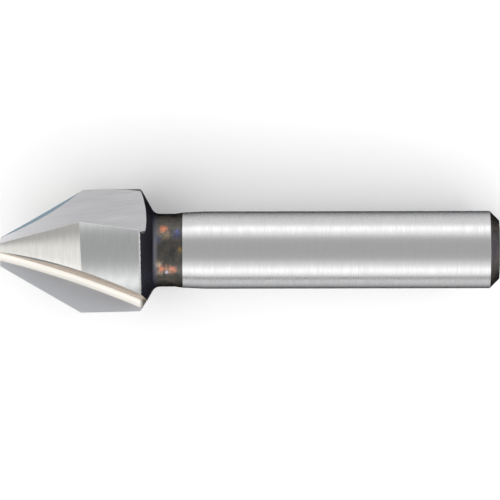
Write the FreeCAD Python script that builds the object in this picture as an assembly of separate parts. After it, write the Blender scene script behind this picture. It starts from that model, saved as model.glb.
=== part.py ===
import FreeCAD, Part

import math
import os

from FreeCAD import Placement, Rotation, Vector

# A three-flute countersink with a plain cylindrical shank, all in one piece of high-speed steel.
# It is made here in the order the real one is: the blank is turned, the lands are relief-ground,
# and a large wheel then grinds the three flutes and a small bevel on the heel of each cone land.
# Lengths are in millimetres and angles in degrees. The tool is first made along its own axis,
# with its tip at the origin and its shank along +X. A place around the axis is an angle counted
# from +Z toward +Y, and the tool cuts when it turns toward larger angles.

# Overall sizes
overall_length = 64.5
shank_diameter = 10.0
shank_chamfer = 1.2
head_diameter = 16.2
tip_diameter = 4.15
cone_angle = 60.0

# Turned blank, from the head back to the shank
land_end = 18.15
back_cone_half_angle = 61.0
grinding_allowance = 0.4
neck_diameter = 9.44
neck_fillet = 1.1
neck_length = 2.65
taper_length = 0.95
taper_end_diameter = 9.74
lead_in_length = 2.75

# Teeth. The relief is how far the centre of a land's circle lies off the tool's axis.
tooth_count = 3
edge_angle = 26.7
cylinder_relief = 0.2
cone_relief = 0.42
relief_direction = 60.0
sector_lead = 20.0

# Flute grinding wheel. Its flat side makes the rake face and its rim the wall of the flute.
rake_angle = 14.0
wheel_diameter = 250.0
wheel_corner_radius = 0.8
wheel_rim_bevel = 6.5
root_radius_at_tip = 0.43
root_radius_at_land_end = 6.61

# Bevel between the flute wall and the cone land, hollow-ground with a smaller wheel. It runs out
# at both ends of the cone. Its angle is from the wall, and its depth is at the middle of the cone.
heel_bevel_angle = 12.0
heel_bevel_depth = 0.12
heel_wheel_width = 4.0

# Rounding of the lands' back corners
land_corner_radius = 0.35

# The flute that faces down where the tool lies on a flat surface
resting_flute = 1

# The halvings that find a place on a curve, and the rounds in which the tool settles on its side
halvings = 50
settling_rounds = 6

ALONG = Vector(1, 0, 0)
pitch = 360.0 / tooth_count
head_radius = head_diameter / 2
shank_radius = shank_diameter / 2
neck_radius = neck_diameter / 2
stock_radius = head_radius + grinding_allowance
cone_slope = math.tan(math.radians(cone_angle / 2))
back_cone_slope = math.tan(math.radians(back_cone_half_angle))
cone_length = (head_radius - tip_diameter / 2) / cone_slope


def around(degrees, radius=1.0, along=0.0):
    """The point at this angle and radius around the tool's axis, this far from the tip."""
    angle = math.radians(degrees)
    return Vector(along, radius * math.sin(angle), radius * math.cos(angle))


def edge_of(tooth):
    """The angle of a tooth's cutting edge on the cone."""
    return edge_angle + tooth * pitch


def crossing(value, low, high):
    """Where value, negative at low and positive at high, passes through zero."""
    for _ in range(halvings):
        middle = (low + high) / 2
        if value(middle) < 0:
            low = middle
        else:
            high = middle
    return (low + high) / 2


def rounded(before, corner, after, radius):
    """Start, middle and end of the arc that rounds a corner of an outline."""
    back = (before - corner).normalize()
    on = (after - corner).normalize()
    inward = (back + on).normalize()
    half = back.getAngle(on) / 2
    setback = radius / math.tan(half)
    middle = corner + inward * (radius / math.sin(half) - radius)
    return corner + back * setback, middle, corner + on * setback


def turned_blank():
    """Head stock, back cone, neck with its fillet, taper, shank and end chamfer, turned in one."""
    foot = land_end + (head_radius - neck_radius) / back_cone_slope
    neck_end = foot + neck_length
    taper_end = neck_end + taper_length
    shank_start = taper_end + lead_in_length
    stock_corner = Vector(land_end - grinding_allowance / back_cone_slope, stock_radius)
    foot_corner = Vector(foot, neck_radius)
    neck_corner = Vector(neck_end, neck_radius)
    fillet = rounded(stock_corner, foot_corner, neck_corner, neck_fillet)
    head = Part.makePolygon([Vector(0, 0), Vector(0, stock_radius), stock_corner, fillet[0]])
    shank = Part.makePolygon([
        fillet[2],
        neck_corner,
        Vector(taper_end, taper_end_diameter / 2),
        Vector(shank_start, shank_radius),
        Vector(overall_length - shank_chamfer, shank_radius),
        Vector(overall_length, shank_radius - shank_chamfer),
        Vector(overall_length, 0),
        Vector(0, 0),
    ])
    outline = Part.Wire(head.Edges + [Part.Arc(*fillet).toShape()] + shank.Edges)
    blank = Part.Face(outline).revolve(Vector(), ALONG, 360)
    blank.rotate(Vector(), ALONG, 90 - edge_of(0) - pitch / 4)
    return blank


def relief_circle(tooth, relief):
    """Centre and radius of the circle that a land follows where the cutting edge is full size."""
    centre = around(edge_of(tooth) + relief_direction, relief)
    return centre, (around(edge_of(tooth), head_radius) - centre).Length


def land_radius(tooth, degrees, along):
    """How far a tooth's relieved land lies from the tool's axis at this place."""
    radii = []
    for relief, slope in ((cylinder_relief, 0.0), (cone_relief, cone_slope)):
        _, radius = relief_circle(tooth, relief)
        radius += slope * (along - cone_length)
        off = math.radians(degrees - edge_of(tooth) - relief_direction)
        sideways = relief * math.sin(off)
        radii.append(relief * math.cos(off) + math.sqrt(radius ** 2 - sideways ** 2))
    return min(radii)


def relieved_sector(tooth):
    """The room inside one tooth's relief grinding: an off-centre cone and cylinder in its sector."""
    last = edge_of(tooth) + sector_lead
    seam = pitch / 2 - last - 180
    centre, radius = relief_circle(tooth, cylinder_relief)
    land = Part.makeCylinder(radius, overall_length, centre, ALONG)
    land.rotate(centre, ALONG, seam)
    centre, radius = relief_circle(tooth, cone_relief)
    at_tip = radius - cone_slope * cone_length
    at_end = at_tip + cone_slope * overall_length
    cone = Part.makeCone(at_tip, at_end, overall_length, centre, ALONG)
    cone.rotate(centre, ALONG, seam)
    corners = [around(last - pitch * part, 3 * stock_radius) for part in (0, 0.5, 1)]
    outline = Part.makePolygon([Vector()] + corners + [Vector()])
    return land.common(cone).common(Part.Face(outline).extrude(ALONG * overall_length))


class Wheel:
    """The grinding wheel where it cuts the flute in front of one tooth."""

    radius = wheel_diameter / 2

    def __init__(self, tooth):
        self.tooth = tooth
        self.outward = around(edge_of(tooth))
        self.tangent = around(edge_of(tooth) + 90)
        self.corner = around(edge_of(tooth), head_radius, cone_length)
        rake_slope = math.tan(math.radians(rake_angle))
        self.normal = self.tangent + ALONG * rake_slope * cone_slope - self.outward * rake_slope
        self.normal.normalize()
        first = self.on_rake_face(0, root_radius_at_tip)
        last = self.on_rake_face(land_end, root_radius_at_land_end)
        chord = last - first
        inward = chord.cross(self.normal).normalize()
        if inward.dot(self.outward) < 0:
            inward = -inward
        height = math.sqrt(self.radius ** 2 - (chord.Length / 2) ** 2)
        self.centre = (first + last) / 2 + inward * height

    def on_rake_face(self, along, radius):
        """The point of the rake face this far from the tip and this far out beside its edge."""
        flat = self.corner + ALONG * (along - cone_length) + self.outward * (radius - head_radius)
        return flat - self.tangent * ((flat - self.corner).dot(self.normal) / self.tangent.dot(self.normal))

    def depth(self, point):
        """How far a point lies outside the rim, negative within the wheel."""
        away = point - self.centre
        side = away.dot(self.normal)
        rim = self.radius - side * math.tan(math.radians(wheel_rim_bevel))
        return (away - self.normal * side).Length - rim

    def heel(self, along):
        """The point where the rim leaves the land of the tooth on the flute's far side."""
        tooth = self.tooth + 1

        def land(degrees):
            return around(degrees, land_radius(tooth, degrees, along), along)

        start = edge_of(self.tooth) + sector_lead
        return land(crossing(lambda degrees: self.depth(land(degrees)), start, edge_of(tooth)))

    def wall_normal(self, point):
        """Which way the flute wall faces near a point of it."""
        away = point - self.centre
        inward = (self.normal * away.dot(self.normal) - away).normalize()
        bevel = math.radians(wheel_rim_bevel)
        return inward * math.cos(bevel) - self.normal * math.sin(bevel)

    def solid(self):
        """The wheel itself, with its rounded corner. It is as wide as the head, to reach past it."""
        width = head_diameter
        far_radius = self.radius - width * math.tan(math.radians(wheel_rim_bevel))
        disc = Part.makeCone(self.radius, far_radius, width, self.centre, self.normal)
        rounded = [
            edge
            for edge in disc.Edges
            if isinstance(edge.Curve, Part.Circle) and abs(edge.Curve.Radius - self.radius) < 1e-6
        ]
        return disc.makeFillet(wheel_corner_radius, rounded)

    def heel_bevel(self):
        """The smaller wheel that hollow-grinds the bevel along the heel of the cone land."""
        first, middle, last = [self.heel(cone_length * part) for part in (0, 0.5, 1)]
        run = last - first
        half = run.Length / 2
        run.normalize()
        wall = self.wall_normal(middle)
        wall = (wall - run * wall.dot(run)).normalize()
        inland = run.cross(wall)
        if inland.dot(around(edge_of(self.tooth + 1))) < 0:
            inland = -inland
        turn = math.radians(heel_bevel_angle)
        facing = wall * math.cos(turn) + inland * math.sin(turn)
        across = inland * math.cos(turn) - wall * math.sin(turn)
        sag = ((first + last) / 2 - middle).dot(facing) + heel_bevel_depth
        radius = (half ** 2 + sag ** 2) / (2 * sag)
        centre = (first + last) / 2 + facing * (radius - sag) - across * (heel_wheel_width / 2)
        return Part.makeCylinder(radius, heel_wheel_width, centre, across)


def round_land_corners(tool):
    """Rounds the corner between each land and the back cone."""
    corners = []
    for edge in tool.Edges:
        middle = edge.valueAt((edge.FirstParameter + edge.LastParameter) / 2)
        surfaces = {face.Surface.TypeId for face in tool.ancestorsOfType(edge, Part.Face)}
        behind_land = abs(middle.x - land_end) < land_corner_radius
        if behind_land and surfaces == {"Part::GeomCylinder", "Part::GeomCone"}:
            corners.append(edge)
    return tool.makeFillet(land_corner_radius, corners)


def countersink():
    """The finished tool on its own axis."""
    sectors = [relieved_sector(tooth) for tooth in range(tooth_count)]
    tool = turned_blank().common(sectors[0].fuse(sectors[1:]))
    for tooth in range(tooth_count):
        wheel = Wheel(tooth)
        tool = tool.cut(wheel.solid()).cut(wheel.heel_bevel())
    return round_land_corners(tool.removeSplitter()).Solids[0]


def leaning_on(low, high, down):
    """Down turned about two touching corners until the rim of the shank touches the surface too."""
    across = (high - low).normalize()
    square = (down - across * down.dot(across)).normalize()
    lean = across.cross(square)
    if lean.x < 0:
        lean = -lean

    def leaned(angle):
        return square * math.cos(angle) + lean * math.sin(angle)

    def rim_above(angle):
        way = leaned(angle)
        rim = (overall_length - shank_chamfer) * way.x + shank_radius * math.hypot(way.y, way.z)
        return rim - low.dot(way)

    return leaned(crossing(rim_above, 0, math.pi / 4))


def lie_down(tool):
    """Lays the tool on its resting flute, on two corners of the head and the rim of the shank.

    Its shank points along +X, and the origin is under the middle of its bounding box.
    """
    middle = edge_of(resting_flute) + pitch / 4
    down = around(middle)
    corners = [vertex.Point for vertex in tool.Vertexes]
    before = [point for point in corners if point.dot(around(middle + 90)) < 0]
    beyond = [point for point in corners if point.dot(around(middle + 90)) > 0]
    for _ in range(settling_rounds):
        down = leaning_on(max(before, key=down.dot), max(beyond, key=down.dot), down)
    along = (ALONG - down * down.x).normalize()
    sideways = along.cross(down)
    turn = Rotation(along, sideways, -down, "XYZ").inverted()
    lying = tool.copy()
    lying.Placement = Placement(Vector(), turn)
    box = lying.optimalBoundingBox(False, False)
    lying.translate(Vector(-box.Center.x, -box.Center.y, -box.ZMin))
    return lying


tool = countersink()
os.makedirs("parts", exist_ok=True)
lie_down(tool).exportStep("parts/countersink.step")
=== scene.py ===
import math

import bpy
import numpy as np
from mathutils import Matrix, Vector


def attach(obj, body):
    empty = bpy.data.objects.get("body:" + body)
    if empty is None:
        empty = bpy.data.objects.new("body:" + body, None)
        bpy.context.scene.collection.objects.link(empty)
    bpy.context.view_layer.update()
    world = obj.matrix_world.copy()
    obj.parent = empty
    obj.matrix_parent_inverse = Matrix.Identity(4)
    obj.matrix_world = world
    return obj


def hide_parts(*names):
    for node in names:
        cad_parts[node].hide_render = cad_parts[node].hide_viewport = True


# A three-flute countersink, ground from one piece of high-speed steel, as it lies on a pale floor.
# The solid keeps its CAD shape. Its surface is divided here by the wheel or tool that made it, so
# that each finish has its own material and each corner of a facet the exact normal of its surface.

MM = 0.001

# The tool's own axes, as the solid lies: its tip, how far its axis leans and how far it is rolled.
# Along them, x runs from the tip to the shank end, y is up in the photograph and z toward the
# photograph's camera.
TIP = Vector((-32.2592796, 0.0991210, 7.9800280)) * MM
LEAN = math.radians(2.6934810)
ROLL = math.radians(-10.8660648)

# The tool's sizes in millimetres and degrees, the same as in its source.
LENGTH = 64.5
SHANK_RADIUS = 5.0
END_CHAMFER = 1.2
HEAD_RADIUS = 8.1
TIP_RADIUS = 2.075
CONE_SLOPE = math.tan(math.radians(30))
LAND_END = 18.15
BACK_CONE_SLOPE = math.tan(math.radians(61))
NECK_RADIUS = 4.72
NECK_FILLET = 1.1
NECK_LENGTH = 2.65
TAPER_LENGTH = 0.95
TAPER_END_RADIUS = 4.87
LEAD_IN_LENGTH = 2.75
TEETH = 3
EDGE_ANGLE = 26.7
LAND_RELIEFS = (0.2, 0.42)
RELIEF_DIRECTION = 60.0
RAKE = math.radians(14)
WHEEL_RADIUS = 125.0
WHEEL_CORNER = 0.8
WHEEL_BEVEL = math.radians(6.5)
ROOT_AT_TIP = 0.43
ROOT_AT_LAND_END = 6.61
HEEL_WHEEL_CENTRE = (-24.972119, 63.822441, 55.253435)
HEEL_WHEEL_AXIS = (-0.352816, 0.524229, -0.775051)
HEEL_WHEEL_RADIUS = 87.302134

CONE_LENGTH = (HEAD_RADIUS - TIP_RADIUS) / CONE_SLOPE
FOOT = LAND_END + (HEAD_RADIUS - NECK_RADIUS) / BACK_CONE_SLOPE
NECK_END = FOOT + NECK_LENGTH
TAPER_END = NECK_END + TAPER_LENGTH
TAPER_SLOPE = (TAPER_END_RADIUS - NECK_RADIUS) / TAPER_LENGTH
SHANK_START = TAPER_END + LEAD_IN_LENGTH
LEAD_IN_SLOPE = (SHANK_RADIUS - TAPER_END_RADIUS) / LEAD_IN_LENGTH
CHAMFER_START = LENGTH - END_CHAMFER

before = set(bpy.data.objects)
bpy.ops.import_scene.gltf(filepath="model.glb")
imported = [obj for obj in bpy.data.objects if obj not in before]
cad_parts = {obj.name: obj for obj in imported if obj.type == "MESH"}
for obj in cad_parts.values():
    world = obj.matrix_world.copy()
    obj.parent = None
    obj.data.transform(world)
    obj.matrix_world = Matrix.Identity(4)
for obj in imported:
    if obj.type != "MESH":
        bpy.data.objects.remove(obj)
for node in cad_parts.values():
    node.data.update()
bpy.context.view_layer.update()
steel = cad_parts["countersink"]

tool_turn = Matrix.Rotation(LEAN, 3, "Y") @ Matrix.Rotation(ROLL, 3, "X")
tool_axes = np.array(tool_turn).T


def unit(vectors):
    """The same directions with length one."""
    return vectors / np.maximum(np.linalg.norm(vectors, axis=-1, keepdims=True), 1e-12)


def around(degrees, radius=1.0, along=0.0):
    """The point at this angle and radius around the tool's axis, this far from the tip."""
    angle = math.radians(degrees)
    return np.array((along, radius * math.sin(angle), radius * math.cos(angle)))


def spun(vectors, degrees):
    """Points turned about the tool's axis, from one tooth's place toward the next."""
    angle = math.radians(degrees)
    c, s = math.cos(angle), math.sin(angle)
    x, y, z = np.moveaxis(np.asarray(vectors, float), -1, 0)
    return np.stack((x, c * y + s * z, c * z - s * y), -1)


# The surfaces of the tool. Each function gives how far points lie from one surface and the normal
# that the surface has there, pointing out of the steel.


def turned_cone(points, x0, r0, slope, centre=(0.0, 0.0)):
    """A cone or cylinder around a line along the axis: radius = r0 + slope (x - x0)."""
    off = points[:, 1:] - np.array(centre)
    radius = np.linalg.norm(off, axis=1)
    lean = 1 / math.hypot(1, slope)
    normal = np.column_stack((np.full(len(points), -slope * lean), unit(off) * lean))
    return (radius - r0 - slope * (points[:, 0] - x0)) * lean, normal


def flat_end(points, x, way):
    """A flat face square to the axis."""
    return points[:, 0] - x, np.tile((way, 0.0, 0.0), (len(points), 1))


def ring(points, centre, axis, major, minor):
    """The hollow side of a torus, around its core circle: distance to that circle = minor."""
    away = points - centre
    side = away @ axis
    out = unit(away - side[:, None] * axis)
    core = centre + out * major
    return np.linalg.norm(points - core, axis=1) - minor, unit(core - points)


def wheel_place():
    """Centre and axis of the flute wheel, from the two root radii on the plane of the rake face."""
    outward, tangent = around(EDGE_ANGLE), around(EDGE_ANGLE + 90)
    corner = around(EDGE_ANGLE, HEAD_RADIUS, CONE_LENGTH)
    slope = math.tan(RAKE)
    axis = unit(tangent + np.array((slope * CONE_SLOPE, 0, 0)) - outward * slope)

    def root(along, radius):
        flat = corner + np.array((along - CONE_LENGTH, 0, 0)) + outward * (radius - HEAD_RADIUS)
        return flat - tangent * ((flat - corner) @ axis) / (tangent @ axis)

    first, last = root(0, ROOT_AT_TIP), root(LAND_END, ROOT_AT_LAND_END)
    chord = last - first
    inward = unit(np.cross(chord, axis))
    inward = inward * np.sign(inward @ outward)
    height = math.sqrt(WHEEL_RADIUS**2 - (np.linalg.norm(chord) / 2) ** 2)
    return (first + last) / 2 + inward * height, axis, corner


WHEEL_CENTRE, WHEEL_AXIS, RAKE_CORNER = wheel_place()


def rake_face(points):
    """The plane that the flat side of the flute wheel leaves."""
    return (points - RAKE_CORNER) @ WHEEL_AXIS, np.tile(WHEEL_AXIS, (len(points), 1))


def wheel_parts(points):
    """How far points lie along the flute wheel's axis, and how far out from it, with that way."""
    away = points - WHEEL_CENTRE
    side = away @ WHEEL_AXIS
    out = away - side[:, None] * WHEEL_AXIS
    reach = np.linalg.norm(out, axis=1)
    return side, reach, out / reach[:, None]


def flute_wall(points):
    """The cone that the bevelled rim of the flute wheel leaves."""
    side, reach, out = wheel_parts(points)
    gap = (reach - WHEEL_RADIUS + side * math.tan(WHEEL_BEVEL)) * math.cos(WHEEL_BEVEL)
    return gap, -out * math.cos(WHEEL_BEVEL) - WHEEL_AXIS * math.sin(WHEEL_BEVEL)


def flute_root(points):
    """The strip that the rounded corner of the flute wheel leaves."""
    major = WHEEL_RADIUS - WHEEL_CORNER * (math.tan(WHEEL_BEVEL) + 1 / math.cos(WHEEL_BEVEL))
    return ring(points, WHEEL_CENTRE + WHEEL_AXIS * WHEEL_CORNER, WHEEL_AXIS, major, WHEEL_CORNER)


def heel_bevel(points):
    """The hollow bevel that the smaller wheel leaves on the heel of the cone land."""
    axis = unit(np.array(HEEL_WHEEL_AXIS))
    away = points - np.array(HEEL_WHEEL_CENTRE)
    out = away - (away @ axis)[:, None] * axis
    reach = np.linalg.norm(out, axis=1)
    return reach - HEEL_WHEEL_RADIUS, -out / reach[:, None]


def wheel_marks(points, flat):
    """Millimetres across and along the marks that the flute wheel leaves.

    Across is the way along the wheel's axis, or out from it on its flat side. Along is round it.
    """
    side, reach, out = wheel_parts(points)
    ahead = np.cross(WHEEL_AXIS, unit(RAKE_CORNER - WHEEL_CENTRE))
    along = WHEEL_RADIUS * np.arcsin(np.clip(out @ ahead, -1, 1))
    across = WHEEL_RADIUS - reach if flat else side
    return np.stack((across, along), -1)


def relieved_land(points, relief, slope):
    """The off-centre cylinder or cone of a land: full size at the cutting edge."""
    centre = around(EDGE_ANGLE + RELIEF_DIRECTION, relief)
    radius = np.linalg.norm(around(EDGE_ANGLE, HEAD_RADIUS) - centre)
    return turned_cone(points, CONE_LENGTH, radius, slope, centre[1:])


def neck_ring(points):
    """The fillet between the back cone and the neck."""
    half = math.atan(BACK_CONE_SLOPE) / 2
    along = FOOT + NECK_FILLET * math.tan(half)
    radial = NECK_RADIUS + NECK_FILLET
    off = points[:, 1:]
    core = np.column_stack((np.full(len(points), along), unit(off) * radial))
    return np.linalg.norm(points - core, axis=1) - NECK_FILLET, unit(core - points)


# How far a facet's corners may lie from the surface that it is put to, in millimetres, the most
# that gap and turn may come to together, and how a turn away from it counts against the gap.
NEAR = 0.02
WORST_FIT = 0.2
TURN_COST = 0.2

# How far a facet may reach past the border of its stretch along the axis.
SEAM = 0.02

# Every surface: the name of its finish, the function with its values, and the stretch along the
# axis, in millimetres, where it can lie. A flute's and a land's surfaces repeat at each tooth.
TURNED = [
    ("parted", flat_end, (0.0, -1.0), -1, 0.2),
    ("scale", turned_cone, (LAND_END, HEAD_RADIUS, -BACK_CONE_SLOPE), 17.6, 20.1),
    ("scale", neck_ring, (), 19.0, 21.5),
    ("scale", turned_cone, (FOOT, NECK_RADIUS, 0.0), 20.0, NECK_END + SEAM),
    ("scale", turned_cone, (NECK_END, NECK_RADIUS, TAPER_SLOPE), NECK_END - SEAM, TAPER_END + SEAM),
    (
        "shank",
        turned_cone,
        (TAPER_END, TAPER_END_RADIUS, LEAD_IN_SLOPE),
        TAPER_END - SEAM,
        SHANK_START + SEAM,
    ),
    (
        "shank",
        turned_cone,
        (SHANK_START, SHANK_RADIUS, 0.0),
        SHANK_START - SEAM,
        CHAMFER_START + SEAM,
    ),
    (
        "scale",
        turned_cone,
        (CHAMFER_START, SHANK_RADIUS, -1.0),
        CHAMFER_START - SEAM,
        LENGTH + SEAM,
    ),
    ("scale", flat_end, (LENGTH, 1.0), LENGTH - 0.2, LENGTH + 1),
]
AT_EACH_TOOTH = [
    ("land", relieved_land, (LAND_RELIEFS[0], 0.0), 9.0, LAND_END + 0.1),
    ("cone", relieved_land, (LAND_RELIEFS[1], CONE_SLOPE), -1, 12.5),
    ("rake", rake_face, (), -1, 21.0),
    ("root", flute_root, (), -1, 21.0),
    ("wall", flute_wall, (), -1, 21.0),
    ("bevel", heel_bevel, (), -1, 12.5),
]
GROUND_BY_A_WHEEL = (rake_face, flute_root, flute_wall, heel_bevel)
FINISHES = ["shank", "corner", "land", "cone", "rake", "root", "wall", "bevel", "scale", "parted"]


def cad_facets():
    """The CAD solid's points, merged, its triangles, and the normals that their corners have."""
    source = steel.data
    count = len(source.loops)
    corner = np.empty(count, np.int32)
    source.loops.foreach_get("vertex_index", corner)
    place = np.empty(len(source.vertices) * 3)
    source.vertices.foreach_get("co", place)
    normals = np.empty(count * 3)
    source.corner_normals.foreach_get("vector", normals)
    merged, where = np.unique(np.round(place.reshape(-1, 3), 7), axis=0, return_inverse=True)
    triangles = where.reshape(-1)[corner].reshape(-1, 3)
    whole = (triangles != np.roll(triangles, -1, axis=1)).all(1)
    return merged, triangles[whole], normals.reshape(-1, 3, 3)[whole]


def facets_by_surface(corners, normals):
    """Each facet's finish, its corners' normals, and their place on the marks of grinding.

    A facet belongs to the surface on which its corners lie and whose normal is closest to its own.
    The small rounds at the lands' back corners are left with the normals that they came with.
    Everything here is along the tool's own axes, in millimetres.
    """
    facing = unit(np.cross(corners[:, 1] - corners[:, 0], corners[:, 2] - corners[:, 0]))
    normals = normals.copy()
    lowest, highest = corners[:, :, 0].min(1), corners[:, :, 0].max(1)
    marks = np.stack((corners[:, :, 0], np.zeros(corners.shape[:2])), -1)
    best = np.full(len(corners), WORST_FIT)
    finish = np.full(len(corners), FINISHES.index("corner"), np.int32)
    candidates = [(row, 0.0) for row in TURNED]
    candidates += [(row, 360 / TEETH * tooth) for row in AT_EACH_TOOTH for tooth in range(TEETH)]
    for (name, surface, values, start, end), turn in candidates:
        home = spun(corners.reshape(-1, 3), -turn)
        gap, normal = surface(home, *values)
        gap = np.abs(gap).reshape(-1, 3).max(1)
        normal = spun(normal, turn).reshape(-1, 3, 3)
        cost = gap + TURN_COST * (1 - np.einsum("ijk,ik->ij", normal, facing).min(1))
        fits = (cost < best) & (gap < NEAR) & (lowest >= start) & (highest <= end)
        best[fits] = cost[fits]
        finish[fits] = FINISHES.index(name)
        normals[fits] = normal[fits]
        if surface in GROUND_BY_A_WHEEL:
            marks[fits] = wheel_marks(home, surface is rake_face).reshape(-1, 3, 2)[fits]
    return finish, normals, marks


def steel_body():
    """The CAD solid as one closed mesh, with its finishes, exact normals and grinding marks."""
    merged, triangles, came_with = cad_facets()
    points = (merged - np.array(TIP)) @ tool_axes.T / MM
    finish, normals, marks = facets_by_surface(points[triangles], came_with @ tool_axes.T)
    mesh = bpy.data.meshes.new("steel_body")
    mesh.from_pydata(merged, [], triangles)
    mesh.polygons.foreach_set("material_index", finish)
    mesh.polygons.foreach_set("use_smooth", np.ones(len(triangles), bool))
    mesh.update()
    across_and_along = mesh.uv_layers.new(name="marks")
    across_and_along.data.foreach_set("uv", (marks * MM).astype(np.float32).ravel())
    mesh.normals_split_custom_set((unit(normals) @ tool_axes).reshape(-1, 3))
    return mesh


# A metal's reflection goes to this colour near grazing, unless its finish has its own.
DARK_EDGE = "#14181C"

# Streaks to the millimetre: along the axis and round it, and across and along a flute wheel's path.
# Real grinding marks are a few hundredths of a millimetre apart and too fine to show: a pixel of
# the photograph is 0.13 mm. So they are drawn 0.12 to 0.17 mm apart and 3 to 7 mm long, and broad
# waves about 1 mm apart vary them.
FINE_ROUND = (8.0, 0.3, 0.3)
BROAD_ROUND = (1.3, 0.45, 0.45)
FINE_WHEEL = (6.0, 0.15)
BROAD_WHEEL = (0.9, 0.12)

# Depth of the marks in millimetres: a few times the real one, as they are drawn so much wider,
# and half as deep on the shank, whose finish is finer.
MARK_DEPTH = 0.006
SHANK_MARK_DEPTH = 0.003
MARK_STRENGTH = 0.35

# How much the waves count beside the streaks, the span that the two together stay in, and the
# span that one noise stays in.
WAVE_SHARE = 0.4
MARKS_SPAN = (0.45, 0.95)
NOISE_SPAN = (0.3, 0.7)

# How far a finish's roughness swings to each side with its marks.
SWING = 0.06

# Radius in millimetres of the round that dulls a sharp edge and of the one that a bright line
# follows, the cosines of the turns, 6 and 22 degrees, where that line starts and is strongest, its
# tone, and the rays that find each round. The line is lighter base colour: partly wear, partly a
# painted highlight.
EDGE_ROUND = 0.05
BRIGHT_LINE = 0.07
LINE_FROM, LINE_FULL = 0.995, 0.93
WEAR_AND_HIGHLIGHT_TONE = "#F4F2F0"
BEVEL_RAYS = 6


def hexed(text):
    """A linear colour with alpha from an sRGB hex value."""
    parts = [int(text[i : i + 2], 16) / 255 for i in (1, 3, 5)]
    return [p / 12.92 if p <= 0.04045 else ((p + 0.055) / 1.055) ** 2.4 for p in parts] + [1.0]


def add(tree, kind, settings=None, **inputs):
    """Adds a node with its settings. Each input is a value, or the output that is linked to it."""
    node = tree.nodes.new(kind)
    for name, value in (settings or {}).items():
        setattr(node, name, value)
    for name, value in inputs.items():
        key = int(name[1:]) if name[1:].isdigit() else name.replace("_", " ")
        if isinstance(value, bpy.types.NodeSocket):
            tree.links.new(value, node.inputs[key])
        else:
            node.inputs[key].default_value = value
    return node


def metal(name, colour, roughness, edge=DARK_EDGE):
    """A new metallic material whose reflection goes to the edge colour near grazing."""
    material = bpy.data.materials.new(name)
    material.use_nodes = True
    tree = material.node_tree
    shader = tree.nodes["Principled BSDF"]
    shader.inputs["Metallic"].default_value = 1.0
    shader.inputs["Base Color"].default_value = hexed(colour)
    shader.inputs["Roughness"].default_value = roughness
    shader.inputs["Specular Tint"].default_value = hexed(edge)
    return material, tree, shader


def tool_place(tree, scale=(1, 1, 1)):
    """The place on the tool, in millimetres along its own axes, each times its scale."""
    coordinates = add(tree, "ShaderNodeTexCoord")
    turned = add(
        tree,
        "ShaderNodeMapping",
        {"vector_type": "TEXTURE"},
        Vector=coordinates.outputs["Object"],
        Location=TIP,
        Rotation=tool_turn.to_euler(),
        Scale=(MM, MM, MM),
    )
    if scale == (1, 1, 1):
        return turned.outputs["Vector"]
    scaled = add(
        tree,
        "ShaderNodeVectorMath",
        {"operation": "MULTIPLY"},
        _0=turned.outputs["Vector"],
        _1=scale,
    )
    return scaled.outputs["Vector"]


def wheel_path(tree, scale):
    """The place across and along a flute wheel's marks, in millimetres, each times its scale."""
    marks = add(tree, "ShaderNodeUVMap", {"uv_map": "marks"})
    scaled = add(
        tree,
        "ShaderNodeVectorMath",
        {"operation": "MULTIPLY"},
        _0=marks.outputs["UV"],
        _1=tuple(part / MM for part in scale) + (0,),
    )
    return scaled.outputs["Vector"]


def toned_and_roughened(tree, shader, colour, roughness, value, span, tone, swing=SWING):
    """Makes the colour lighter as a pattern's value goes up, and the finish smoother.

    A swing below nought makes it rougher instead. The lighter colour is returned.
    """
    level = add(
        tree,
        "ShaderNodeMapRange",
        Value=value,
        From_Min=span[0],
        From_Max=span[1],
        To_Min=1 - tone,
        To_Max=1 + tone,
    )
    toned = add(
        tree,
        "ShaderNodeVectorMath",
        {"operation": "SCALE"},
        _0=hexed(colour)[:3],
        Scale=level.outputs["Result"],
    )
    rough = add(
        tree,
        "ShaderNodeMapRange",
        Value=value,
        From_Min=span[0],
        From_Max=span[1],
        To_Min=roughness + swing,
        To_Max=roughness - swing,
    )
    tree.links.new(rough.outputs["Result"], shader.inputs["Roughness"])
    return toned.outputs["Vector"]


def grinding(tree, shader, colour, roughness, fine, broad, tone, depth):
    """Grinding marks: streaks in tone, roughness and height. Returns the streaked colour.

    Each streak is noise drawn out along the marks. The broad waves only change tone and roughness.
    """
    streaks = add(tree, "ShaderNodeTexNoise", Vector=fine, Scale=1.0, Detail=4.0, Roughness=0.7)
    waves = add(tree, "ShaderNodeTexNoise", Vector=broad, Scale=1.0, Detail=2.0, Roughness=0.5)
    both = add(
        tree,
        "ShaderNodeMath",
        {"operation": "MULTIPLY_ADD"},
        _0=waves.outputs["Fac"],
        _1=WAVE_SHARE,
        _2=streaks.outputs["Fac"],
    )
    value = both.outputs["Value"]
    toned = toned_and_roughened(tree, shader, colour, roughness, value, MARKS_SPAN, tone)
    rounded = add(tree, "ShaderNodeBevel", {"samples": BEVEL_RAYS}, Radius=EDGE_ROUND * MM)
    height = add(
        tree,
        "ShaderNodeBump",
        Height=streaks.outputs["Fac"],
        Distance=depth * MM,
        Strength=MARK_STRENGTH,
        Normal=rounded.outputs["Normal"],
    )
    tree.links.new(height.outputs["Normal"], shader.inputs["Normal"])
    return toned


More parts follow.
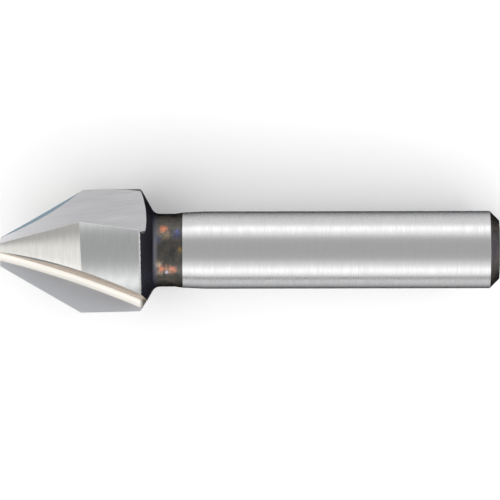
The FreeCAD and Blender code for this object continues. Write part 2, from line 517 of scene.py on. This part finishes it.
def worn_and_highlit_edges(tree, shader, colour):
    """Lightens the hair-thin line along sharp edges, where a small round turns: partly worn or
    deburred steel, partly a painted highlight.
    """
    flat = add(tree, "ShaderNodeNewGeometry")
    rounded = add(tree, "ShaderNodeBevel", {"samples": BEVEL_RAYS}, Radius=BRIGHT_LINE * MM)
    turn = add(
        tree,
        "ShaderNodeVectorMath",
        {"operation": "DOT_PRODUCT"},
        _0=flat.outputs["Normal"],
        _1=rounded.outputs["Normal"],
    )
    share = add(
        tree,
        "ShaderNodeMapRange",
        Value=turn.outputs["Value"],
        From_Min=LINE_FROM,
        From_Max=LINE_FULL,
        To_Max=0.6,
    )
    # Lighter base colour along the edge: partly wear, partly a painted highlight.
    mixed = add(
        tree,
        "ShaderNodeMix",
        {"data_type": "RGBA"},
        _0=share.outputs["Result"],
        _6=colour,
        _7=hexed(WEAR_AND_HIGHLIGHT_TONE),
    )
    tree.links.new(mixed.outputs[2], shader.inputs["Base Color"])


def ground_round(name, colour, roughness, tone=0.1, edge=DARK_EDGE, depth=MARK_DEPTH):
    """Steel ground all round: fine marks that run round the axis."""
    material, tree, shader = metal(name, colour, roughness, edge)
    places = tool_place(tree, FINE_ROUND), tool_place(tree, BROAD_ROUND)
    worn_and_highlit_edges(tree, shader, grinding(tree, shader, colour, roughness, *places, tone, depth))
    return material


def wheel_ground(name, colour, roughness, tone, edge):
    """Steel ground by a large wheel: long fine marks along the flute wheel's path."""
    material, tree, shader = metal(name, colour, roughness, edge)
    places = wheel_path(tree, FINE_WHEEL), wheel_path(tree, BROAD_WHEEL)
    streaked = grinding(tree, shader, colour, roughness, *places, tone, MARK_DEPTH)
    worn_and_highlit_edges(tree, shader, streaked)
    return material


# Where along the axis the root strip is darkened with painted shade: at the lands' end, where
# the wheel ran out.
PAINTED_SHADE_FADE = (LAND_END - 0.15, LAND_END + 0.35)


def flute_root_steel():
    """The strip in the root of a flute: pale and matt, with painted shade where the wheel ran out.
    """
    colour, roughness = "#F5F3EE", 0.75
    material, tree, shader = metal("corner_ground_steel", colour, roughness, "#F2EAE2")
    fine = wheel_path(tree, FINE_WHEEL)
    streaks = add(tree, "ShaderNodeTexNoise", Vector=fine, Scale=1.0, Detail=4.0, Roughness=0.7)
    value = streaks.outputs["Fac"]
    toned = toned_and_roughened(tree, shader, colour, roughness, value, NOISE_SPAN, 0.05)
    along = add(tree, "ShaderNodeSeparateXYZ", Vector=tool_place(tree))
    share = add(
        tree,
        "ShaderNodeMapRange",
        Value=along.outputs["X"],
        From_Min=PAINTED_SHADE_FADE[0],
        From_Max=PAINTED_SHADE_FADE[1],
        To_Max=0.9,
    )
    # Painted shade: the strip's end is mixed toward dark brown.
    shaded_end = add(
        tree,
        "ShaderNodeMix",
        {"data_type": "RGBA"},
        _0=share.outputs["Result"],
        _6=toned,
        _7=hexed("#40382E"),
    )
    tree.links.new(shaded_end.outputs[2], shader.inputs["Base Color"])
    height = add(
        tree,
        "ShaderNodeBump",
        Height=streaks.outputs["Fac"],
        Distance=MARK_DEPTH * MM,
        Strength=MARK_STRENGTH,
    )
    tree.links.new(height.outputs["Normal"], shader.inputs["Normal"])
    return material


# The scale's clouds, from the lowest of their noise to the highest: black-brown, brown and steel
# blue, as the thickness of the scale changes over 1 to 2 mm.
CLOUDS = [
    (0.25, "#403F3F"),
    (0.42, "#4C4B49"),
    (0.55, "#56534F"),
    (0.66, "#605850"),
    (0.78, "#4C5460"),
]
CLOUDS_PER_MM = 0.9

# The scale's own grain is too fine to show, so it is drawn at 0.2 mm.
GRAINS_PER_MM = 5.0

# Rings that the lathe left: under the scale, along and round the axis, and along the radius of the
# parted end. A feed is 0.1 mm or less and too fine to show, so they are drawn 0.25 mm apart.
TURNED_RINGS = (4.0, 0.35, 0.35)
PARTED_RINGS_PER_MM = 4.0

# Temper colours that the photograph shows on the neck, with one darker patch on the end chamfer:
# where each patch lies along the tool, up and toward the camera, its size, all in millimetres, its
# colour and its strength. The two pale tan patches at the foot of the neck, on its lower side, and
# the small pale lavender speck beside them are painted highlight, not temper colours.
TEMPER_AND_HIGHLIGHT_SPOTS = [
    ((20.6, -1.9, 4.55), 0.9, "#C8B094", 0.7),
    ((20.65, -3.1, 3.9), 0.9, "#B49C84", 0.7),
    ((21.9, -2.6, 4.0), 1.3, "#A08068", 0.6),
    ((21.5, 1.9, 4.35), 1.1, "#A08C70", 0.6),
    ((20.5, 1.3, 4.6), 0.9, "#545B79", 0.6),
    ((22.9, 1.8, 4.2), 1.1, "#434A74", 0.65),
    ((22.2, -0.3, 4.7), 1.1, "#383C44", 0.6),
    ((21.2, 2.75, 3.85), 0.85, "#CC7A58", 0.8),
    ((20.95, -2.4, 4.05), 0.75, "#D07C60", 0.75),
    ((22.4, -2.45, 4.0), 0.8, "#C47A64", 0.7),
    ((21.6, -2.85, 3.75), 0.42, "#C2C2DB", 0.75),
    ((22.9, 2.4, 4.05), 0.6, "#4C5898", 0.5),
    ((23.3, 0.1, 4.8), 0.65, "#A68A45", 0.65),
    ((63.9, 0.0, 4.4), 2.4, "#46414A", 0.9),
]

# A patch's border, in sizes of the patch: how far the noise moves it, where it starts and where
# the patch has its full strength.
RAGGED, SPOT_FROM, SPOT_FULL = 1.2, 2.1, 1.0

# Depth in millimetres of the scale's grain and rings.
GRAIN_DEPTH = 0.02

# The back cone's own tone, and the places on the axis between which it fades into the neck's.
BACK_CONE_TONE = "#4D4D54"
BACK_CONE_FADE = (20.6, 20.0)


def hardened_scale():
    """Hardened steel left as it came from the salt bath: brown-black, with temper colours and a
    few painted highlight patches.

    Each patch is a ball around its place, whose distance is made ragged by the rings and grains.
    """
    material, tree, shader = metal("hardening_scale", "#504C48", 0.36, "#20242A")
    place = tool_place(tree)
    clouds = add(
        tree,
        "ShaderNodeTexNoise",
        Vector=place,
        Scale=CLOUDS_PER_MM,
        Detail=3.0,
        Roughness=0.6,
    )
    ramp = add(tree, "ShaderNodeValToRGB", Fac=clouds.outputs["Fac"])
    stops = ramp.color_ramp.elements
    while len(stops) < len(CLOUDS):
        stops.new(0.5)
    for stop, (position, tone) in zip(stops, CLOUDS):
        stop.position = position
        stop.color = hexed(tone)
    colour = ramp.outputs["Color"]
    grain = add(
        tree,
        "ShaderNodeTexNoise",
        Vector=place,
        Scale=GRAINS_PER_MM,
        Detail=2.0,
        Roughness=0.6,
    )
    turning = tool_place(tree, TURNED_RINGS)
    rings = add(tree, "ShaderNodeTexNoise", Vector=turning, Scale=1.0, Detail=3.0, Roughness=0.6)
    both = add(
        tree,
        "ShaderNodeMath",
        {"operation": "ADD"},
        _0=rings.outputs["Fac"],
        _1=grain.outputs["Fac"],
    )
    for spot, size, tone, strength in TEMPER_AND_HIGHLIGHT_SPOTS:
        away = add(tree, "ShaderNodeVectorMath", {"operation": "DISTANCE"}, _0=place, _1=spot)
        ragged = add(
            tree,
            "ShaderNodeMath",
            {"operation": "MULTIPLY_ADD"},
            _0=both.outputs["Value"],
            _1=size * RAGGED,
            _2=away.outputs["Value"],
        )
        share = add(
            tree,
            "ShaderNodeMapRange",
            {"interpolation_type": "SMOOTHSTEP"},
            Value=ragged.outputs["Value"],
            From_Min=size * SPOT_FROM,
            From_Max=size * SPOT_FULL,
            To_Max=strength,
        )
        # Each patch mixes its tone in: a temper colour, or a painted highlight for the pale
        # patches.
        mixed = add(
            tree,
            "ShaderNodeMix",
            {"data_type": "RGBA"},
            _0=share.outputs["Result"],
            _6=colour,
            _7=hexed(tone),
        )
        colour = mixed.outputs[2]
    along = add(tree, "ShaderNodeSeparateXYZ", Vector=place)
    on_cone = add(
        tree,
        "ShaderNodeMapRange",
        {"interpolation_type": "SMOOTHSTEP"},
        Value=along.outputs["X"],
        From_Min=BACK_CONE_FADE[0],
        From_Max=BACK_CONE_FADE[1],
    )
    cone_tone = add(
        tree,
        "ShaderNodeMix",
        {"data_type": "RGBA"},
        _0=on_cone.outputs["Result"],
        _6=colour,
        _7=hexed(BACK_CONE_TONE),
    )
    tree.links.new(cone_tone.outputs[2], shader.inputs["Base Color"])
    height = add(
        tree,
        "ShaderNodeBump",
        Height=both.outputs["Value"],
        Distance=GRAIN_DEPTH * MM,
        Strength=0.5,
    )
    tree.links.new(height.outputs["Normal"], shader.inputs["Normal"])
    rough = add(
        tree,
        "ShaderNodeMapRange",
        Value=grain.outputs["Fac"],
        From_Min=NOISE_SPAN[0],
        From_Max=NOISE_SPAN[1],
        To_Min=0.3,
        To_Max=0.42,
    )
    tree.links.new(rough.outputs["Result"], shader.inputs["Roughness"])
    return material


def parted_steel():
    """The end of the tip as it was parted off: dark, with faint rings round the axis."""
    colour, roughness = "#2E2C2A", 0.4
    material, tree, shader = metal("parted_off_steel", colour, roughness)
    off_axis = tool_place(tree, (0, 1, 1))
    radius = add(tree, "ShaderNodeVectorMath", {"operation": "LENGTH"}, _0=off_axis)
    rings = add(
        tree,
        "ShaderNodeTexNoise",
        {"noise_dimensions": "1D"},
        W=radius.outputs["Value"],
        Scale=PARTED_RINGS_PER_MM,
        Detail=2.0,
    )
    value = rings.outputs["Fac"]
    toned = toned_and_roughened(tree, shader, colour, roughness, value, NOISE_SPAN, 0.25, -SWING)
    tree.links.new(toned, shader.inputs["Base Color"])
    return material


# Each finish, how it comes about and what it gives the eye.
made = {
    # Ground all round on a cylindrical grinder: a satin gloss, with two long highlights whose
    # borders are soft, rings that can hardly be told apart, and edges that turn dark.
    "shank": ground_round(
        "cylindrically_ground_steel", "#C0C0C1", 0.28, 0.075, "#0A1820", SHANK_MARK_DEPTH
    ),
    # Relief ground: the marks round the land can be seen, and its gloss is duller.
    "land": ground_round("relief_ground_steel", "#B6B7B7", 0.34),
    # The small rounds at the lands' back corners, smoothed by hand: grey and matt.
    "corner": ground_round("stoned_corner_steel", "#A4A4A4", 0.45),
    # The cone, relief ground in a pass of its own: lighter, warmer and duller than the land.
    "cone": ground_round("relief_ground_cone_steel", "#CCCBC7", 0.38),
    # Ground by the wheel's flat side: an even grey with hardly a mark.
    "rake": wheel_ground("flat_ground_steel", "#D3D5D8", 0.46, 0.02, "#A0A0A4"),
    # Ground by the wheel's rounded corner: a matt strip, nearly white from every side, darkened
    # with painted shade at its end.
    "root": flute_root_steel(),
    # Ground by the wheel's rim: a smooth wall with long marks, which turns tan near grazing.
    "wall": wheel_ground("rim_ground_steel", "#B4B3B6", 0.22, 0.08, "#E4D4C6"),
    # Hollow ground by a smaller wheel: a smooth narrow facet, tinted blue-grey.
    "bevel": wheel_ground("hollow_ground_steel", "#7E929E", 0.26, 0.04, "#F0E0D0"),
    # Turned before hardening and never ground: dark, with a faint gloss, temper colours on the neck
    # and a few painted highlight patches there.
    "scale": hardened_scale(),
    # Parted off and left so: the dark end between the flutes.
    "parted": parted_steel(),
}
body = bpy.data.objects.new("countersink_body", steel_body())
bpy.context.scene.collection.objects.link(body)
for finish in FINISHES:
    body.data.materials.append(made[finish])
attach(body, "root")
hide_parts("countersink")


def floor():
    """A plain disc under the tool, in metres.

    Its far border rises past the horizon, as a backdrop does, so that the views from every side
    have a plain ground.
    """
    flat_radius, border_radius, border_height, steps = 1.6, 2.3, 0.1, 96
    turn = np.linspace(0, 2 * np.pi, steps, endpoint=False)
    circle = np.column_stack((np.cos(turn), np.sin(turn), np.zeros(steps)))
    rings = np.vstack((circle * flat_radius, circle * border_radius + (0, 0, border_height)))
    border = [(k, steps + k, steps + (k + 1) % steps, (k + 1) % steps) for k in range(steps)]
    mesh = bpy.data.meshes.new("floor")
    mesh.from_pydata(rings, [], [tuple(range(steps))] + border)
    material = bpy.data.materials.new("pale_floor")
    material.use_nodes = True
    shader = material.node_tree.nodes["Principled BSDF"]
    shader.inputs["Base Color"].default_value = hexed("#FCFCFC")
    shader.inputs["Roughness"].default_value = 1.0
    shader.inputs["Specular IOR Level"].default_value = 0.0
    mesh.materials.append(material)
    made_floor = bpy.data.objects.new("floor", mesh)
    bpy.context.scene.collection.objects.link(made_floor)


floor()

# How bright the studio is by the angle in degrees from the camera's side toward the top of the
# photograph: across the tool, where a long soft box stands on each side, beyond its tip, and
# beyond its shank. The floor hides what lies past a right angle.
ACROSS = [
    (-180, 0.3),
    (-104, 0.25),
    (-92, 0.3),
    (-80, 1.9),
    (-63, 2.6),
    (-46, 1.5),
    (-24, 0.8),
    (8, 0.78),
    (34, 0.8),
    (50, 1.7),
    (66, 2.65),
    (80, 2.1),
    (94, 0.4),
]
BEYOND_TIP = [
    (-180, 0.5),
    (-110, 0.7),
    (-88, 2.4),
    (-68, 2.6),
    (-45, 1.2),
    (0, 1.8),
    (18, 1.35),
    (38, 0.45),
    (75, 0.45),
    (110, 0.45),
]
BEYOND_SHANK = [
    (-180, 0.5),
    (-112, 0.6),
    (-95, 2.0),
    (-70, 3.0),
    (-45, 2.6),
    (-20, 2.2),
    (10, 2.2),
    (45, 2.6),
    (75, 2.6),
    (95, 0.8),
]

# The level that is a ramp's one, and the strength at which the floor comes out white.
RAMP_TOP = 4.0
STUDIO_STRENGTH = 3.3

# Along the tool, as a direction's share of its length: where the light beyond the tip gives way to
# that across the tool, and where this gives way to the light beyond the shank.
TIP_TO_ACROSS = (-0.53, -0.4)
ACROSS_TO_SHANK = (0.42, 0.72)


def studio():
    """The world: soft boxes painted as smooth bands of direction, along the tool's own axes."""
    world = bpy.data.worlds.new("studio")
    bpy.context.scene.world = world
    world.use_nodes = True
    tree = world.node_tree
    background = tree.nodes["Background"]
    coordinates = add(tree, "ShaderNodeTexCoord")
    turned = add(
        tree,
        "ShaderNodeMapping",
        {"vector_type": "TEXTURE"},
        Vector=coordinates.outputs["Generated"],
        Rotation=tool_turn.to_euler(),
    )
    parts = add(tree, "ShaderNodeSeparateXYZ", Vector=turned.outputs["Vector"])
    angle = add(
        tree,
        "ShaderNodeMath",
        {"operation": "ARCTAN2"},
        _0=parts.outputs["Y"],
        _1=parts.outputs["Z"],
    )
    share = add(
        tree,
        "ShaderNodeMapRange",
        Value=angle.outputs["Value"],
        From_Min=-math.pi,
        From_Max=math.pi,
    )
    levels = []
    for band in (BEYOND_TIP, ACROSS, BEYOND_SHANK):
        ramp = add(tree, "ShaderNodeValToRGB", Fac=share.outputs["Result"])
        ramp.color_ramp.interpolation = "EASE"
        stops = ramp.color_ramp.elements
        while len(stops) < len(band):
            stops.new(0.5)
        for stop, (degrees, level) in zip(stops, band):
            stop.position = (degrees + 180) / 360
            stop.color = [level / RAMP_TOP] * 3 + [1]
        levels.append(ramp.outputs["Color"])
    light = levels[0]
    for level, (start, end) in zip(levels[1:], (TIP_TO_ACROSS, ACROSS_TO_SHANK)):
        share = add(
            tree,
            "ShaderNodeMapRange",
            {"interpolation_type": "SMOOTHSTEP"},
            Value=parts.outputs["X"],
            From_Min=start,
            From_Max=end,
        )
        mixed = add(
            tree,
            "ShaderNodeMix",
            {"data_type": "RGBA"},
            _0=share.outputs["Result"],
            _6=light,
            _7=level,
        )
        light = mixed.outputs[2]
    tree.links.new(light, background.inputs["Color"])
    background.inputs["Strength"].default_value = STUDIO_STRENGTH


studio()

# The photograph's camera looks straight down on the tool's axis, at its middle, and is turned a
# hair about its own line of sight. Its 500 pixels show 64.64 mm.
VIEW_CENTRE = 32.32
CAMERA_DISTANCE = 808.7
CAMERA_ROLL = math.radians(-0.11)
SENSOR_WIDTH = 36
LENS = 450.4


def camera():
    """The photograph's camera, placed along the tool's own axes."""
    data = bpy.data.cameras.new("camera")
    made_camera = bpy.data.objects.new("camera", data)
    bpy.context.scene.collection.objects.link(made_camera)
    data.sensor_width = SENSOR_WIDTH
    data.lens = LENS
    data.clip_start, data.clip_end = 0.05, 100
    target = TIP + tool_turn @ Vector((VIEW_CENTRE, 0, 0)) * MM
    place = target + tool_turn @ Vector((0, 0, CAMERA_DISTANCE)) * MM
    turned = tool_turn @ Matrix.Rotation(CAMERA_ROLL, 3, "Z")
    made_camera.matrix_world = Matrix.Translation(place) @ turned.to_4x4()
    bpy.context.scene.camera = made_camera


camera()
bpy.context.scene.view_settings.view_transform = "Standard"
bpy.context.view_layer.update()
